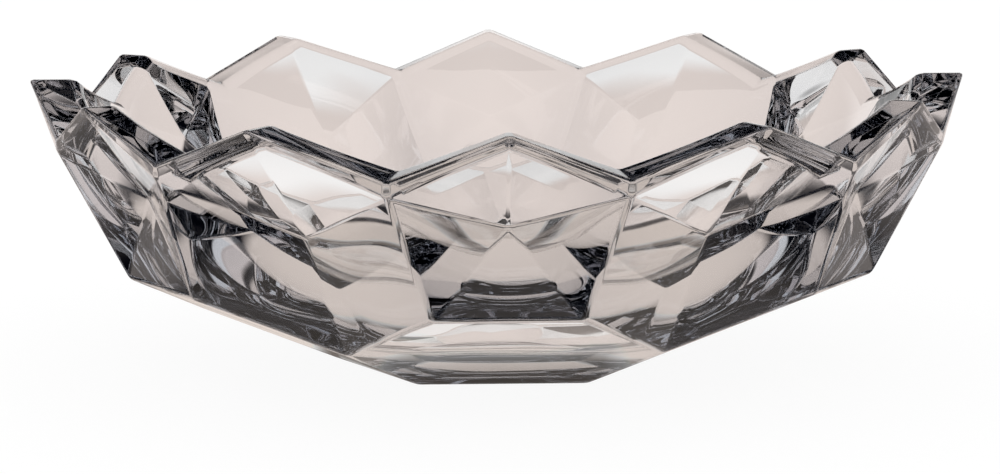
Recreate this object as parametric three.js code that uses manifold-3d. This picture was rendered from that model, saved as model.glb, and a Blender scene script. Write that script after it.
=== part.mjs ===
// Salad bowl of thick clear crystal, cast in one piece and cut with flat facets outside.
// Millimetres, +Z up. The origin is the middle of the flat base, on the surface it stands on.
//
// The outside repeats six times round the axis. "Bay" panels look along the azimuths 0, 60, 120 ...
// and fold inwards to a point in their middle. "Groove" panels look along 30, 90, 150 ... and fold
// inwards along their whole height. Azimuth 0 looks along -Y, and azimuths grow towards +X.

import * as THREE from 'three';
import { mergeVertices } from 'three/addons/utils/BufferGeometryUtils.js';
import Module from 'manifold-3d';

// Driving dimensions, outside

const bays = 6;
const bowlHeight = 85.5;
const rimRadius = 140;
const bayTipInset = 3.6;

// The rim drops from each tip to a valley, and the valley's edge is a short upright band.
const valleyInset = 3;
const valleyDrop = 13;
const valleyAzimuth = 14.1;
const bandHeight = 4.5;
const bandLean = 0.3;

// The upper facets of a panel meet in one junction below its tip, measured in from the band's foot.
const bayJunctionInset = 17.4;
const bayJunctionDrop = 27.6;
const grooveJunctionInset = 23.2;
const grooveJunctionDrop = 33.5;

// The groove ends in a toe, where the six underside facets meet in pairs.
const toeInset = 20.3;
const toeHeight = 15.9;
const baseCornerRadius = 48.4;
const shoulderAzimuth = 10.34;

// Driving dimensions, inside

const rimWall = 11.9;
const floorThickness = 15;
const kneeDrop = 31.5;
const kneeSlope = 50.5;
const upperWallBend = 137;
const mouthCutAbove = 6;

// Smoothness of the turned hollow

const turnSteps = 72;
const lowerWallSteps = 7;
const upperWallSteps = 4;

// Points of the outside, as radius, azimuth in degrees and height

function point(radius, azimuth, height) {
  const angle = THREE.MathUtils.degToRad(azimuth);
  return new THREE.Vector3(radius * Math.sin(angle), -radius * Math.cos(angle), height);
}

const bayStep = 360 / bays;
const halfStep = bayStep / 2;
const bayTipRadius = rimRadius - bayTipInset;
const valleyRadius = bayTipRadius - valleyInset;
const bandRadius = valleyRadius - bandLean;
const bayJunctionRadius = bandRadius - bayJunctionInset;
const grooveJunctionRadius = bandRadius - grooveJunctionInset;
const toeRadius = grooveJunctionRadius - toeInset;
const mouthRadius = bayTipRadius - rimWall;
const valleyHeight = bowlHeight - valleyDrop;
const bandFootHeight = valleyHeight - bandHeight;
const bayJunctionHeight = bowlHeight - bayJunctionDrop;
const grooveJunctionHeight = bowlHeight - grooveJunctionDrop;

function facePlane(a, b, c) {
  return new THREE.Plane().setFromCoplanarPoints(a, b, c);
}

// The corner where a groove facet and an underside facet meet at the shoulder's azimuth.
function shoulderCorner() {
  const foot = point(bandRadius, valleyAzimuth, bandFootHeight);
  const grooveJunction = point(grooveJunctionRadius, halfStep, grooveJunctionHeight);
  const toe = point(toeRadius, halfStep, toeHeight);
  const otherToe = point(toeRadius, -halfStep, toeHeight);
  const baseCorner = point(baseCornerRadius, halfStep, 0);
  const upright = facePlane(point(0, 0, 0), point(0, 0, 1), point(1, shoulderAzimuth, 0));
  const grooveFace = facePlane(foot, grooveJunction, toe);
  const undersideFace = facePlane(toe, otherToe, baseCorner);
  const normals = new THREE.Matrix3().set(
    ...upright.normal.toArray(),
    ...grooveFace.normal.toArray(),
    ...undersideFace.normal.toArray(),
  );
  const offsets = new THREE.Vector3(-upright.constant, -grooveFace.constant, -undersideFace.constant);
  return offsets.applyMatrix3(normals.invert());
}

const shoulder = shoulderCorner();
const shoulderRadius = Math.hypot(shoulder.x, shoulder.y);

// One sector runs from the middle of a bay to the middle of the next groove, on one side (+1 or -1).
function sectorTriangles(bayAzimuth, side) {
  const grooveAzimuth = bayAzimuth + side * halfStep;
  const valleyAt = bayAzimuth + side * valleyAzimuth;
  const rimMiddle = point(0, 0, bowlHeight);
  const baseMiddle = point(0, 0, 0);
  const bayTip = point(bayTipRadius, bayAzimuth, bowlHeight);
  const grooveTip = point(rimRadius, grooveAzimuth, bowlHeight);
  const valley = point(valleyRadius, valleyAt, valleyHeight);
  const foot = point(bandRadius, valleyAt, bandFootHeight);
  const bayJunction = point(bayJunctionRadius, bayAzimuth, bayJunctionHeight);
  const grooveJunction = point(grooveJunctionRadius, grooveAzimuth, grooveJunctionHeight);
  const corner = point(shoulderRadius, bayAzimuth + side * shoulderAzimuth, shoulder.z);
  const otherCorner = point(shoulderRadius, bayAzimuth - side * shoulderAzimuth, shoulder.z);
  const toe = point(toeRadius, grooveAzimuth, toeHeight);
  const baseCorner = point(baseCornerRadius, grooveAzimuth, 0);
  const otherBaseCorner = point(baseCornerRadius, bayAzimuth - side * halfStep, 0);

  const triangles = [
    [rimMiddle, bayTip, valley],
    [rimMiddle, valley, grooveTip],
    [bayTip, foot, valley],
    [valley, foot, grooveTip],
    [bayTip, bayJunction, foot],
    [grooveTip, foot, grooveJunction],
    [bayJunction, corner, foot],
    [foot, corner, toe],
    [foot, toe, grooveJunction],
    [corner, baseCorner, toe],
  ];
  const sharedByBothSides = [
    [bayJunction, otherCorner, corner],
    [otherCorner, otherBaseCorner, corner],
    [corner, otherBaseCorner, baseCorner],
    [baseMiddle, baseCorner, otherBaseCorner],
  ];
  if (side > 0) {
    return triangles.concat(sharedByBothSides);
  }
  return triangles.map(([a, b, c]) => [a, c, b]);
}

function facetedBody() {
  const corners = [];
  for (let bay = 0; bay < bays; bay += 1) {
    for (const side of [1, -1]) {
      corners.push(...sectorTriangles(bay * bayStep, side).flat());
    }
  }
  return new THREE.BufferGeometry().setFromPoints(corners);
}

// Points of an arc that bends up from one slope to another, as radius and height from its start
function arc(start, bend, fromSlope, toSlope, steps) {
  const points = [];
  for (let step = 0; step <= steps; step += 1) {
    const slope = THREE.MathUtils.lerp(fromSlope, toSlope, step / steps);
    points.push(new THREE.Vector2(
      start.x + bend * (Math.sin(slope) - Math.sin(fromSlope)),
      start.y + bend * (Math.cos(fromSlope) - Math.cos(slope)),
    ));
  }
  return points;
}

// The turned hollow: a flat floor, an arc up to the knee, and a wider arc from the knee to the mouth.
function hollow() {
  const knee = THREE.MathUtils.degToRad(kneeSlope);
  const kneeHeight = bowlHeight - kneeDrop;
  const lip = Math.acos(Math.cos(knee) - kneeDrop / upperWallBend);
  const kneeRadius = mouthRadius - upperWallBend * (Math.sin(lip) - Math.sin(knee));
  const lowerWallBend = (kneeHeight - floorThickness) / (1 - Math.cos(knee));
  const floorEdge = new THREE.Vector2(kneeRadius - lowerWallBend * Math.sin(knee), floorThickness);

  const lowerWall = arc(floorEdge, lowerWallBend, 0, knee, lowerWallSteps);
  const upperWall = arc(lowerWall[lowerWallSteps], upperWallBend, knee, lip, upperWallSteps);
  const mouth = upperWall[upperWallSteps];
  const aboveMouth = new THREE.Vector2(mouth.x + mouthCutAbove / Math.tan(lip), mouth.y + mouthCutAbove);
  const profile = [
    new THREE.Vector2(0, floorThickness),
    ...lowerWall,
    ...upperWall.slice(1),
    aboveMouth,
    new THREE.Vector2(0, aboveMouth.y),
  ];
  return new THREE.LatheGeometry(profile, turnSteps).rotateX(Math.PI / 2);
}

// Boolean cut

const wasm = await Module();
wasm.setup();

function solid(geometry) {
  const bare = geometry.clone();
  bare.deleteAttribute('normal');
  bare.deleteAttribute('uv');
  const merged = mergeVertices(bare, 1e-4);
  return new wasm.Manifold(new wasm.Mesh({
    numProp: 3,
    vertProperties: new Float32Array(merged.attributes.position.array),
    triVerts: new Uint32Array(merged.index.array),
  }));
}

function geometryOf(manifold) {
  const mesh = manifold.getMesh();
  const geometry = new THREE.BufferGeometry();
  geometry.setAttribute('position', new THREE.BufferAttribute(mesh.vertProperties, 3));
  geometry.setIndex(new THREE.BufferAttribute(mesh.triVerts, 1));
  geometry.computeVertexNormals();
  return geometry;
}

const crystal = new THREE.MeshStandardMaterial({
  color: 0xe6e0da,
  roughness: 0.03,
  metalness: 0,
  transparent: true,
  opacity: 0.35,
});

const glassBowl = new THREE.Mesh(geometryOf(solid(facetedBody()).subtract(solid(hollow()))), crystal);
glassBowl.name = 'glass_bowl';

const saladBowl = new THREE.Group();
saladBowl.add(glassBowl);

export default saladBowl;
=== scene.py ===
import math

import bpy
import numpy as np
from mathutils import Matrix, Vector


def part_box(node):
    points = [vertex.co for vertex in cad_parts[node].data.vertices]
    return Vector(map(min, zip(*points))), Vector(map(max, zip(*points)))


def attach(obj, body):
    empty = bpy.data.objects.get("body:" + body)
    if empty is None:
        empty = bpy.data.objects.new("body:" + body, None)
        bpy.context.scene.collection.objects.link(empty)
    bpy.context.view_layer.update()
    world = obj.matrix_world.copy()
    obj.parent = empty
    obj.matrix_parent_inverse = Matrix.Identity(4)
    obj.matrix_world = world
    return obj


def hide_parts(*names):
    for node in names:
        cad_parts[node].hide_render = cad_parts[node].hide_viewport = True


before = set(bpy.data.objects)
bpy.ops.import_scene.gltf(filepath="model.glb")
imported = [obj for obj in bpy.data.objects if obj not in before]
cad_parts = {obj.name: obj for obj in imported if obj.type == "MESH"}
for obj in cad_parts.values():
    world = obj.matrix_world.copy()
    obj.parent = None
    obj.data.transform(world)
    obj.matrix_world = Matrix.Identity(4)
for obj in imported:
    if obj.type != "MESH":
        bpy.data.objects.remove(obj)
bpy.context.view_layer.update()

MM = 0.001

# Sizes of the bowl in metres, and angles in degrees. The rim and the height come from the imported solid,
# and the rest are the sizes in the solid's source. Only the band's height at the tips is new here.

_, bowl_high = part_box("glass_bowl")
BOWL_HEIGHT = bowl_high.z
RIM_RADIUS = bowl_high.x
BAYS = 6
BAY_STEP = 360 / BAYS
HALF_STEP = BAY_STEP / 2

BAY_TIP_INSET = 3.6 * MM
VALLEY_INSET = 3.0 * MM
VALLEY_DROP = 13.0 * MM
VALLEY_AZIMUTH = 14.1
BAND_HEIGHT = 4.5 * MM
BAND_LEAN = 0.3 * MM
TIP_BAND_HEIGHT = 3.0 * MM
BAY_JUNCTION_INSET = 17.4 * MM
BAY_JUNCTION_DROP = 27.6 * MM
GROOVE_JUNCTION_INSET = 23.2 * MM
GROOVE_JUNCTION_DROP = 33.5 * MM
TOE_INSET = 20.3 * MM
TOE_HEIGHT = 15.9 * MM
BASE_CORNER_RADIUS = 48.4 * MM
SHOULDER_AZIMUTH = 10.34

RIM_WALL = 11.9 * MM
FLOOR_THICKNESS = 15.0 * MM
KNEE_DROP = 31.5 * MM
KNEE_SLOPE = 50.5
UPPER_WALL_BEND = 137.0 * MM

BAY_TIP_RADIUS = RIM_RADIUS - BAY_TIP_INSET
VALLEY_RADIUS = BAY_TIP_RADIUS - VALLEY_INSET
BAND_RADIUS = VALLEY_RADIUS - BAND_LEAN
BAY_JUNCTION_RADIUS = BAND_RADIUS - BAY_JUNCTION_INSET
GROOVE_JUNCTION_RADIUS = BAND_RADIUS - GROOVE_JUNCTION_INSET
TOE_RADIUS = GROOVE_JUNCTION_RADIUS - TOE_INSET
MOUTH_RADIUS = BAY_TIP_RADIUS - RIM_WALL

VALLEY_HEIGHT = BOWL_HEIGHT - VALLEY_DROP
FOOT_HEIGHT = VALLEY_HEIGHT - BAND_HEIGHT
LOW_TIP_HEIGHT = BOWL_HEIGHT - TIP_BAND_HEIGHT
BAY_JUNCTION_HEIGHT = BOWL_HEIGHT - BAY_JUNCTION_DROP
GROOVE_JUNCTION_HEIGHT = BOWL_HEIGHT - GROOVE_JUNCTION_DROP

# Fineness of the hollow: columns from tip to valley on each kind of panel, rows up to the lip and in it,
# steps along each arc of the profile, and rounds of the search for the lip's height.
BAY_COLUMNS = 14
GROOVE_COLUMNS = 16
TO_GROOVE = BAY_COLUMNS + GROOVE_COLUMNS
PER_BAY = 2 * TO_GROOVE
LOW_ROWS = 34
LIP_ROWS = 4
LIP_START = 56.0 * MM
PROFILE_STEPS = 400
LIP_ROUNDS = 30

# Rounding of the polished edges: the bevel's full width, and the share of it on each kind of edge.
EDGE_ROUNDING = 3.2 * MM
EDGE_SEGMENTS = 4
RIDGE_SHARE = 0.45
FOLD_SHARE = 0.26
RIM_SHARE = 0.45
MOUTH_SHARE = 1.0

# The glass: its refraction, the gentle swell of its polished faces, the light lost per metre of glass and
# the tint of what gets through, and how often a ray turns at the faces before it is left dark.
CLEAR = "#FEFDFC"
REFRACTION = 1.52
SWELL_LENGTH = 40.0 * MM
SWELL_HEIGHT = 3.0 * MM
ABSORPTION = 6.5
DEEP_TINT = "#003A6C"
LIGHT_TURNS = 9

# Backdrop as the glass shows it, by the sine of the angle above the floor: a bright ring all round, under
# a dark ceiling.
WHITE, HAZE, DARK, CEILING = "#FFFFFF", "#E8DDD8", "#05070F", "#26282E"
BACKDROP = [(0.02, HAZE), (0.075, WHITE), (0.24, WHITE), (0.34, DARK), (0.80, DARK), (0.95, CEILING)]

# Paper as the glass shows it, with painted shade: darker under the bowl than far off, the rim's painted
# shadow by the distance from the axis, and the painted contact shadow round the six-sided base, by the
# distance square to the base's nearest side.
SHADED_PAPER, FAR_PAPER, RIM_SHADOW, CONTACT_SHADOW = "#E4D8D0", "#F2E7E2", "#0A0D18", "#746C66"
RIM_SHADE = [(126 * MM, SHADED_PAPER), (148 * MM, RIM_SHADOW), (164 * MM, RIM_SHADOW), (210 * MM, FAR_PAPER)]
CONTACT_SHADE = [(38.5 * MM, WHITE), (43 * MM, CONTACT_SHADOW), (45 * MM, CONTACT_SHADOW), (64 * MM, WHITE)]
SHADE_END = 250 * MM
SLANT_SIDE = (math.sin(math.radians(BAY_STEP)), math.cos(math.radians(BAY_STEP)), 0.0)

# The floor's half side and its gap to the base. The camera sees its glow, and a shadow on its matt grey.
FLOOR_REACH = 3.0
FLOOR_GAP = 0.5 * MM
FLOOR_GLOW = 0.93
FLOOR_MATT = "#505050"

# Camera, fitted to the photograph's corner points. Angles in degrees, about the middle of the rim.
CAMERA_DISTANCE = 1.0755
CAMERA_AZIMUTH = -1.30
CAMERA_ELEVATION = 6.646
CAMERA_ROLL = -0.275
CAMERA_AIM_SIDE = 0.45 * MM
CAMERA_AIM_DROP = 48.9 * MM
CAMERA_LENS = 129.75
CAMERA_SENSOR = 36
CAMERA_NEAR = 0.01


def add_camera():
    """Camera on a sphere about the rim's middle, aimed below it, with a small roll about its view axis."""
    elevation = math.radians(CAMERA_ELEVATION)
    azimuth = math.radians(CAMERA_AZIMUTH)
    reach = CAMERA_DISTANCE * math.cos(elevation)
    place = Vector((reach * math.sin(azimuth), -reach * math.cos(azimuth), BOWL_HEIGHT))
    place.z += CAMERA_DISTANCE * math.sin(elevation)
    aim = Vector((CAMERA_AIM_SIDE, 0.0, BOWL_HEIGHT - CAMERA_AIM_DROP))
    camera = bpy.data.objects.new("camera", bpy.data.cameras.new("camera"))
    camera.data.lens = CAMERA_LENS
    camera.data.sensor_width = CAMERA_SENSOR
    camera.data.clip_start = CAMERA_NEAR
    turn = (aim - place).to_track_quat("-Z", "Y").to_matrix().to_4x4()
    roll = Matrix.Rotation(math.radians(CAMERA_ROLL), 4, "Z")
    camera.matrix_world = Matrix.Translation(place) @ turn @ roll
    bpy.context.scene.collection.objects.link(camera)
    bpy.context.scene.camera = camera


def linear(hex_colour):
    """sRGB hex colour as linear RGBA, by the standard's curve."""
    srgb = np.array([int(hex_colour[i:i + 2], 16) for i in (1, 3, 5)]) / 255
    values = np.where(srgb <= 0.04045, srgb / 12.92, ((srgb + 0.055) / 1.055) ** 2.4)
    return (*values.tolist(), 1.0)


def add_node(tree, kind, settings=None, inputs=None, links=None, stops=None):
    """Adds a node, sets its properties, input values and colour stops, and links its inputs to outputs."""
    node = tree.nodes.new(kind)
    for name, value in (settings or {}).items():
        setattr(node, name, value)
    for name, value in (inputs or {}).items():
        node.inputs[name].default_value = value
    for name, source in (links or {}).items():
        tree.links.new(source, node.inputs[name])
    if stops:
        ramp = node.color_ramp
        ramp.interpolation = "EASE"
        for _ in stops[2:]:
            ramp.elements.new(1.0)
        for stop, (place, colour) in zip(ramp.elements, stops):
            stop.position = place
            stop.color = linear(colour)
    return node


# The bowl's surface

def ring(radius, azimuth, height):
    """Points at a radius, at azimuths in degrees from -Y towards +X, at a height, as an (n, 3) array."""
    radius, azimuth, height = np.broadcast_arrays(radius, np.radians(azimuth), height)
    return np.stack([radius * np.sin(azimuth), -radius * np.cos(azimuth), height], axis=-1)


def plane_through(a, b, c):
    """Unit normal and offset of the plane through three points."""
    normal = np.cross(b - a, c - a)
    normal = normal / np.linalg.norm(normal)
    return normal, normal @ a


def shoulder_corner():
    """Radius and height of the point where a groove facet, the underside and the upright plane at the
    shoulder's azimuth meet."""
    foot = ring(BAND_RADIUS, VALLEY_AZIMUTH, FOOT_HEIGHT)
    groove_junction = ring(GROOVE_JUNCTION_RADIUS, HALF_STEP, GROOVE_JUNCTION_HEIGHT)
    toe = ring(TOE_RADIUS, HALF_STEP, TOE_HEIGHT)
    other_toe = ring(TOE_RADIUS, -HALF_STEP, TOE_HEIGHT)
    base_corner = ring(BASE_CORNER_RADIUS, HALF_STEP, 0.0)
    axis_low, axis_high = np.zeros(3), np.array([0.0, 0.0, 1.0])
    planes = [
        plane_through(axis_low, axis_high, ring(1.0, SHOULDER_AZIMUTH, 0.0)),
        plane_through(foot, groove_junction, toe),
        plane_through(toe, other_toe, base_corner),
    ]
    normals, offsets = zip(*planes)
    corner = np.linalg.solve(np.array(normals), np.array(offsets))
    return math.hypot(corner[0], corner[1]), corner[2]


def corner_rings():
    """Corners of the outside's facets, six to a ring. The low ones lie below the tips, on the lines from the
    tips to the junctions."""
    bay = BAY_STEP * np.arange(BAYS)
    groove = bay + HALF_STEP
    shoulder_radius, shoulder_height = shoulder_corner()
    bay_lean = (BAY_TIP_RADIUS - BAY_JUNCTION_RADIUS) / BAY_JUNCTION_DROP
    groove_lean = (RIM_RADIUS - GROOVE_JUNCTION_RADIUS) / GROOVE_JUNCTION_DROP
    return {
        "base": ring(BASE_CORNER_RADIUS, groove, 0.0),
        "toe": ring(TOE_RADIUS, groove, TOE_HEIGHT),
        "shoulder_left": ring(shoulder_radius, bay - SHOULDER_AZIMUTH, shoulder_height),
        "shoulder_right": ring(shoulder_radius, bay + SHOULDER_AZIMUTH, shoulder_height),
        "bay_junction": ring(BAY_JUNCTION_RADIUS, bay, BAY_JUNCTION_HEIGHT),
        "groove_junction": ring(GROOVE_JUNCTION_RADIUS, groove, GROOVE_JUNCTION_HEIGHT),
        "foot_left": ring(BAND_RADIUS, bay - VALLEY_AZIMUTH, FOOT_HEIGHT),
        "foot_right": ring(BAND_RADIUS, bay + VALLEY_AZIMUTH, FOOT_HEIGHT),
        "valley_left": ring(VALLEY_RADIUS, bay - VALLEY_AZIMUTH, VALLEY_HEIGHT),
        "valley_right": ring(VALLEY_RADIUS, bay + VALLEY_AZIMUTH, VALLEY_HEIGHT),
        "bay_tip": ring(BAY_TIP_RADIUS, bay, BOWL_HEIGHT),
        "groove_tip": ring(RIM_RADIUS, groove, BOWL_HEIGHT),
        "bay_low": ring(BAY_TIP_RADIUS - bay_lean * TIP_BAND_HEIGHT, bay, LOW_TIP_HEIGHT),
        "groove_low": ring(RIM_RADIUS - groove_lean * TIP_BAND_HEIGHT, groove, LOW_TIP_HEIGHT),
    }


def hollow_profile():
    """Radius and height along the hollow's wall: an arc from the flat floor to the knee, then a wider arc
    from the knee to the mouth. A point on an arc follows from its slope and the arc's bend."""
    knee = math.radians(KNEE_SLOPE)
    lip = math.acos(math.cos(knee) - KNEE_DROP / UPPER_WALL_BEND)
    knee_radius = MOUTH_RADIUS - UPPER_WALL_BEND * (math.sin(lip) - math.sin(knee))
    knee_height = BOWL_HEIGHT - KNEE_DROP
    lower_bend = (knee_height - FLOOR_THICKNESS) / (1 - math.cos(knee))
    low = np.linspace(0, knee, PROFILE_STEPS)
    high = np.linspace(knee, lip, PROFILE_STEPS)[1:]
    slope = np.concatenate([low, high])
    bend = np.where(np.arange(len(slope)) < PROFILE_STEPS, lower_bend, UPPER_WALL_BEND)
    radius = knee_radius + bend * (np.sin(slope) - math.sin(knee))
    height = knee_height + bend * (math.cos(knee) - np.cos(slope))
    return np.stack([radius, height], axis=1)


def column_azimuths():
    """Azimuths of the hollow's columns, with one on each tip and each valley."""
    to_valley = np.linspace(0, VALLEY_AZIMUTH, BAY_COLUMNS, endpoint=False)
    to_groove = np.linspace(VALLEY_AZIMUTH, HALF_STEP, GROOVE_COLUMNS, endpoint=False)
    half = np.concatenate([to_valley, to_groove])
    one_bay = np.concatenate([half, [HALF_STEP], BAY_STEP - half[:0:-1]])
    return (one_bay[None, :] + BAY_STEP * np.arange(BAYS)[:, None]).ravel()


def rim_slope(azimuth):
    """Drop of the rim's top per metre of radius: flat planes that hold the tips' level ridges."""
    off_bay = np.abs((azimuth + HALF_STEP) % BAY_STEP - HALF_STEP)
    off_groove = HALF_STEP - off_bay
    per_metre = VALLEY_DROP / VALLEY_RADIUS
    bay_side = np.sin(np.radians(off_bay)) / math.sin(math.radians(VALLEY_AZIMUTH))
    groove_side = np.sin(np.radians(off_groove)) / math.sin(math.radians(HALF_STEP - VALLEY_AZIMUTH))
    return per_metre * np.minimum(bay_side, groove_side)


def hollow_grid():
    """Hollow as a (rows, columns, 3) grid: even steps along the profile, then a lip that ends where the
    profile meets the rim's planes. That height is found by going back and forth between the two."""
    azimuth = column_azimuths()
    profile = hollow_profile()
    profile_radius, profile_height = profile.T
    slope = rim_slope(azimuth)
    top = np.full_like(azimuth, BOWL_HEIGHT)
    for _ in range(LIP_ROUNDS):
        top = BOWL_HEIGHT - slope * np.interp(top, profile_height, profile_radius)
    low = profile[profile_height <= LIP_START]
    along = np.concatenate([[0], np.cumsum(np.linalg.norm(np.diff(low, axis=0), axis=1))])
    even = np.linspace(0, along[-1], LOW_ROWS)
    low_radius = np.interp(even, along, low[:, 0])[:, None] + np.zeros_like(azimuth)
    low_height = np.interp(even, along, low[:, 1])[:, None] + np.zeros_like(azimuth)
    share = (np.arange(1, LIP_ROWS + 1) / LIP_ROWS)[:, None]
    lip_height = low_height[-1:] + share * (top - low_height[-1:])
    lip_radius = np.interp(lip_height, profile_height, profile_radius)
    height = np.concatenate([low_height, lip_height])
    radius = np.concatenate([low_radius, lip_radius])
    return ring(radius, azimuth[None, :], height)


def outside_faces(here, after, before):
    """Flat facets of the outside and the base, as lists of corner numbers, with six facets of each kind."""
    kinds = [
        [here["bay_junction"], here["foot_left"], here["shoulder_left"]],
        [here["bay_junction"], here["shoulder_left"], here["shoulder_right"]],
        [here["bay_junction"], here["shoulder_right"], here["foot_right"]],
        [before["base"], here["base"], here["toe"], here["shoulder_right"], here["shoulder_left"],
         before["toe"]],
        [here["bay_low"], here["foot_left"], here["bay_junction"]],
        [here["bay_low"], here["bay_junction"], here["foot_right"]],
        [here["groove_low"], here["foot_right"], here["groove_junction"]],
        [here["groove_low"], here["groove_junction"], after["foot_left"]],
        [here["foot_right"], here["shoulder_right"], here["toe"], here["groove_junction"]],
        [here["groove_junction"], here["toe"], after["shoulder_left"], after["foot_left"]],
        [here["bay_tip"], here["valley_left"], here["foot_left"], here["bay_low"]],
        [here["bay_tip"], here["bay_low"], here["foot_right"], here["valley_right"]],
        [here["groove_tip"], here["valley_right"], here["foot_right"], here["groove_low"]],
        [here["groove_tip"], here["groove_low"], after["foot_left"], after["valley_left"]],
    ]
    faces = [face for kind in kinds for face in np.stack(kind, axis=1).tolist()]
    return faces + [here["base"][::-1].tolist()]


def rim_faces(here, after, mouth):
    """Faces of the rim's top, each from a tip to a valley outside, and along the mouth's columns inside."""
    spans = [
        (here["bay_tip"], here["valley_right"], 0, BAY_COLUMNS),
        (here["valley_right"], here["groove_tip"], BAY_COLUMNS, TO_GROOVE),
        (here["groove_tip"], after["valley_left"], TO_GROOVE, PER_BAY - BAY_COLUMNS),
        (after["valley_left"], after["bay_tip"], PER_BAY - BAY_COLUMNS, PER_BAY),
    ]
    faces = []
    for first, last, start, stop in spans:
        columns = np.arange(stop, start - 1, -1)[None, :] + PER_BAY * np.arange(BAYS)[:, None]
        inner = mouth[columns % len(mouth)]
        faces += np.concatenate([first[:, None], last[:, None], inner], axis=1).tolist()
    return faces


def hollow_faces(cell):
    """The hollow's flat floor, and the four-sided faces of its grid, closed round the axis."""
    right = np.roll(cell, -1, axis=1)
    wall = np.stack([right[:-1], cell[:-1], cell[1:], right[1:]], axis=-1)
    return [cell[0].tolist()] + wall.reshape(-1, 4).tolist()


def rounded_edges(here, after, mouth):
    """Edges to round, as pairs of corner numbers, each kind with its share of the full rounding. Folds
    include the band's foot."""
    spokes = PER_BAY * np.arange(BAYS)
    ridges = [
        (here["foot_left"], here["shoulder_left"]), (here["foot_right"], here["shoulder_right"]),
        (here["shoulder_left"], here["shoulder_right"]), (here["shoulder_right"], here["toe"]),
        (here["toe"], after["shoulder_left"]), (here["toe"], here["base"]), (here["base"], after["base"]),
    ]
    folds = [
        (here["bay_junction"], here["foot_left"]), (here["bay_junction"], here["foot_right"]),
        (here["bay_junction"], here["shoulder_left"]), (here["bay_junction"], here["shoulder_right"]),
        (here["bay_junction"], here["bay_low"]), (here["groove_junction"], here["groove_low"]),
        (here["groove_junction"], here["foot_right"]), (here["groove_junction"], after["foot_left"]),
        (here["groove_junction"], here["toe"]),
        (here["bay_low"], here["foot_left"]), (here["bay_low"], here["foot_right"]),
        (here["groove_low"], here["foot_right"]), (here["groove_low"], after["foot_left"]),
    ]
    rim = [
        (here["bay_tip"], here["valley_left"]), (here["bay_tip"], here["valley_right"]),
        (here["groove_tip"], here["valley_right"]), (here["groove_tip"], after["valley_left"]),
        (here["foot_left"], here["valley_left"]), (here["foot_right"], here["valley_right"]),
        (here["bay_tip"], here["bay_low"]), (here["groove_tip"], here["groove_low"]),
        (here["bay_tip"], mouth[spokes]), (here["groove_tip"], mouth[spokes + TO_GROOVE]),
        (here["valley_right"], mouth[spokes + BAY_COLUMNS]),
        (here["valley_left"], mouth[spokes - BAY_COLUMNS]),
    ]
    lip = [(mouth, np.roll(mouth, -1))]
    return [(RIDGE_SHARE, ridges), (FOLD_SHARE, folds), (RIM_SHARE, rim), (MOUTH_SHARE, lip)]


def edge_key(first, second, count):
    """One number for an edge between two of count points, the same in both directions."""
    return np.minimum(first, second) * count + np.maximum(first, second)


def weigh_edges(mesh, kinds):
    """Writes each kind's share of the rounding as the bevel weight of its edges."""
    count = len(mesh.vertices)
    ends = np.empty(2 * len(mesh.edges), np.int64)
    mesh.edges.foreach_get("vertices", ends)
    keys = edge_key(ends[0::2], ends[1::2], count)
    order = np.argsort(keys)
    weights = np.zeros(len(keys), np.float32)
    for share, pairs in kinds:
        wanted = np.concatenate([edge_key(first, second, count) for first, second in pairs])
        weights[order[np.searchsorted(keys[order], wanted)]] = share
    mesh.attributes.new("bevel_weight_edge", "FLOAT", "EDGE").data.foreach_set("value", weights)


def bowl_mesh():
    """Closed surface of the bowl: flat facets between rings of corners, the rim's top and the hollow's grid.
    Here, after and before hold the numbers of each ring's corners at a bay and at the bays beside it."""
    corners = corner_rings()
    grid = hollow_grid()
    points = np.concatenate([*corners.values(), grid.reshape(-1, 3)])
    here = {name: BAYS * i + np.arange(BAYS) for i, name in enumerate(corners)}
    after = {name: np.roll(numbers, -1) for name, numbers in here.items()}
    before = {name: np.roll(numbers, 1) for name, numbers in here.items()}
    cell = np.arange(BAYS * len(corners), len(points)).reshape(grid.shape[:2])
    mouth = cell[-1]
    faces = outside_faces(here, after, before) + rim_faces(here, after, mouth) + hollow_faces(cell)
    mesh = bpy.data.meshes.new("crystal_bowl")
    mesh.from_pydata(points.tolist(), [], faces)
    mesh.polygons.foreach_set("use_smooth", np.ones(len(mesh.polygons), bool))
    weigh_edges(mesh, rounded_edges(here, after, mouth))
    return mesh


def crystal():
    """Crystal glass, cast, cut and polished: clear, with sharp reflections and slightly wavy faces, and a
    dark blue-grey where light goes far through it."""
    material = bpy.data.materials.new("polished_crystal")
    material.use_nodes = True
    tree = material.node_tree
    shader = tree.nodes["Principled BSDF"]
    shader.inputs["Base Color"].default_value = linear(CLEAR)
    shader.inputs["Roughness"].default_value = 0.0
    shader.inputs["IOR"].default_value = REFRACTION
    shader.inputs["Transmission Weight"].default_value = 1.0
    place = add_node(tree, "ShaderNodeTexCoord")
    swell = add_node(tree, "ShaderNodeTexNoise", inputs={"Scale": 1 / SWELL_LENGTH, "Detail": 0.0},
                     links={"Vector": place.outputs["Object"]})
    bump = add_node(tree, "ShaderNodeBump", inputs={"Strength": 1.0, "Distance": SWELL_HEIGHT},
                    links={"Height": swell.outputs["Fac"]})
    tree.links.new(bump.outputs["Normal"], shader.inputs["Normal"])
    depth = add_node(tree, "ShaderNodeVolumeAbsorption",
                     inputs={"Color": linear(DEEP_TINT), "Density": ABSORPTION})
    tree.links.new(depth.outputs["Volume"], tree.nodes["Material Output"].inputs["Volume"])
    return material


def add_bowl():
    """The bowl with its edges rounded, on the solid's body and in the place of the solid."""
    mesh = bowl_mesh()
    mesh.materials.append(crystal())
    bowl = bpy.data.objects.new("crystal_bowl", mesh)
    bpy.context.scene.collection.objects.link(bowl)
    rounding = bowl.modifiers.new("polished_edges", "BEVEL")
    rounding.width = EDGE_ROUNDING
    rounding.segments = EDGE_SEGMENTS
    rounding.limit_method = "WEIGHT"
    rounding.use_clamp_overlap = False
    rounding.harden_normals = True
    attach(bowl, "root")
    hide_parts("glass_bowl")


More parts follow.
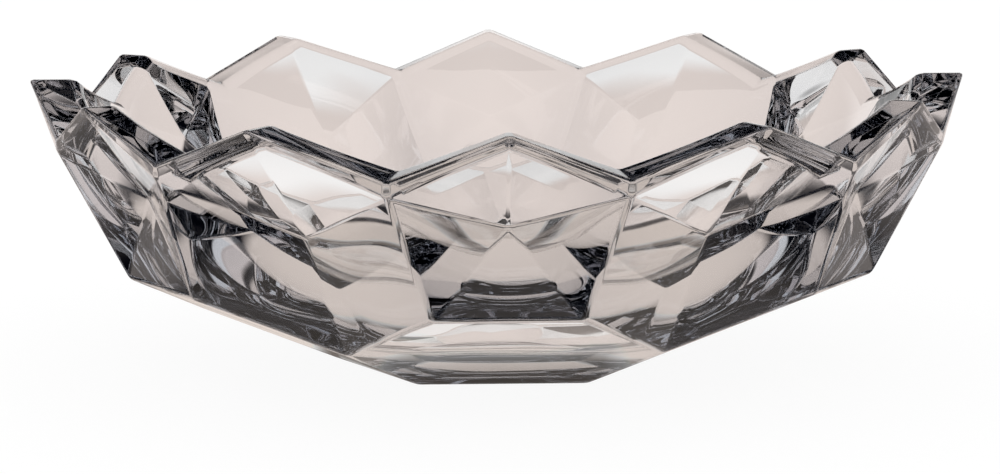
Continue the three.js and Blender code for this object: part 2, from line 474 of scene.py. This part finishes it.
def add_world():
    """Studio: white all round to the camera. In the glass, a bright ring of backdrop under a dark ceiling."""
    world = bpy.data.worlds.new("studio")
    bpy.context.scene.world = world
    world.use_nodes = True
    tree = world.node_tree
    tree.nodes.clear()
    way = add_node(tree, "ShaderNodeTexCoord")
    parts = add_node(tree, "ShaderNodeSeparateXYZ", links={"Vector": way.outputs["Generated"]})
    ramp = add_node(tree, "ShaderNodeValToRGB", links={"Fac": parts.outputs["Z"]}, stops=BACKDROP)
    path = add_node(tree, "ShaderNodeLightPath")
    off_glass = add_node(tree, "ShaderNodeMath", {"operation": "MAXIMUM"},
                         links={0: path.outputs["Is Glossy Ray"], 1: path.outputs["Is Transmission Ray"]})
    white = add_node(tree, "ShaderNodeBackground", inputs={"Color": linear(WHITE), "Strength": 1.0})
    studio = add_node(tree, "ShaderNodeBackground", inputs={"Strength": 1.0},
                      links={"Color": ramp.outputs["Color"]})
    mix = add_node(tree, "ShaderNodeMixShader",
                   links={0: off_glass.outputs["Value"], 1: white.outputs[0], 2: studio.outputs[0]})
    add_node(tree, "ShaderNodeOutputWorld", links={"Surface": mix.outputs[0]})


def pale_paper():
    """Paper: white to the camera, with a faint shadow. In the glass, warm grey with the bowl's shadows
    painted in.
    """
    material = bpy.data.materials.new("pale_paper")
    material.use_nodes = True
    tree = material.node_tree
    tree.nodes.clear()
    place = add_node(tree, "ShaderNodeTexCoord").outputs["Object"]
    radius = add_node(tree, "ShaderNodeVectorMath", {"operation": "LENGTH"}, links={0: place})
    folded = add_node(tree, "ShaderNodeVectorMath", {"operation": "ABSOLUTE"}, links={0: place})
    slant = add_node(tree, "ShaderNodeVectorMath", {"operation": "DOT_PRODUCT"}, {1: SLANT_SIDE},
                     {0: folded.outputs["Vector"]})
    parts = add_node(tree, "ShaderNodeSeparateXYZ", links={"Vector": folded.outputs["Vector"]})
    across = add_node(tree, "ShaderNodeMath", {"operation": "MAXIMUM"},
                      links={0: slant.outputs["Value"], 1: parts.outputs["Y"]})
    shades = []
    # Painted shadows: the rim's shadow and the contact shadow, each ramped by its distance, and the darker of
    # the two.
    for distance, shading in ((radius, RIM_SHADE), (across, CONTACT_SHADE)):
        share = add_node(tree, "ShaderNodeMath", {"operation": "DIVIDE"}, {1: SHADE_END},
                         {0: distance.outputs["Value"]})
        stops = [(reach / SHADE_END, colour) for reach, colour in shading]
        ramp = add_node(tree, "ShaderNodeValToRGB", links={"Fac": share.outputs["Value"]}, stops=stops)
        shades.append(ramp.outputs["Color"])
    darker = add_node(tree, "ShaderNodeVectorMath", {"operation": "MINIMUM"}, links=dict(enumerate(shades)))
    in_glass = add_node(tree, "ShaderNodeEmission", inputs={"Strength": 1.0},
                        links={"Color": darker.outputs["Vector"]})
    glow = add_node(tree, "ShaderNodeEmission", inputs={"Color": linear(WHITE), "Strength": FLOOR_GLOW})
    matt = add_node(tree, "ShaderNodeBsdfDiffuse", inputs={"Color": linear(FLOOR_MATT)})
    seen = add_node(tree, "ShaderNodeAddShader", links={0: glow.outputs[0], 1: matt.outputs[0]})
    path = add_node(tree, "ShaderNodeLightPath")
    mix = add_node(tree, "ShaderNodeMixShader",
                   links={0: path.outputs["Is Camera Ray"], 1: in_glass.outputs[0], 2: seen.outputs[0]})
    add_node(tree, "ShaderNodeOutputMaterial", links={"Surface": mix.outputs[0]})
    return material


def add_floor():
    """Floor of pale paper, a square just below the base."""
    mesh = bpy.data.meshes.new("floor")
    square = np.array([(-1, -1, 0), (1, -1, 0), (1, 1, 0), (-1, 1, 0)])
    mesh.from_pydata((FLOOR_REACH * square).tolist(), [], [(0, 1, 2, 3)])
    mesh.materials.append(pale_paper())
    floor = bpy.data.objects.new("floor", mesh)
    floor.location.z = -FLOOR_GAP
    bpy.context.scene.collection.objects.link(floor)


add_camera()
add_bowl()
add_world()
add_floor()

bpy.context.scene.view_settings.view_transform = "Standard"

# Light that goes round inside the cut glass for longer than this stays dark, as in the photograph.
cycles = bpy.context.scene.cycles
cycles.max_bounces = LIGHT_TURNS
cycles.glossy_bounces = LIGHT_TURNS
cycles.transmission_bounces = LIGHT_TURNS
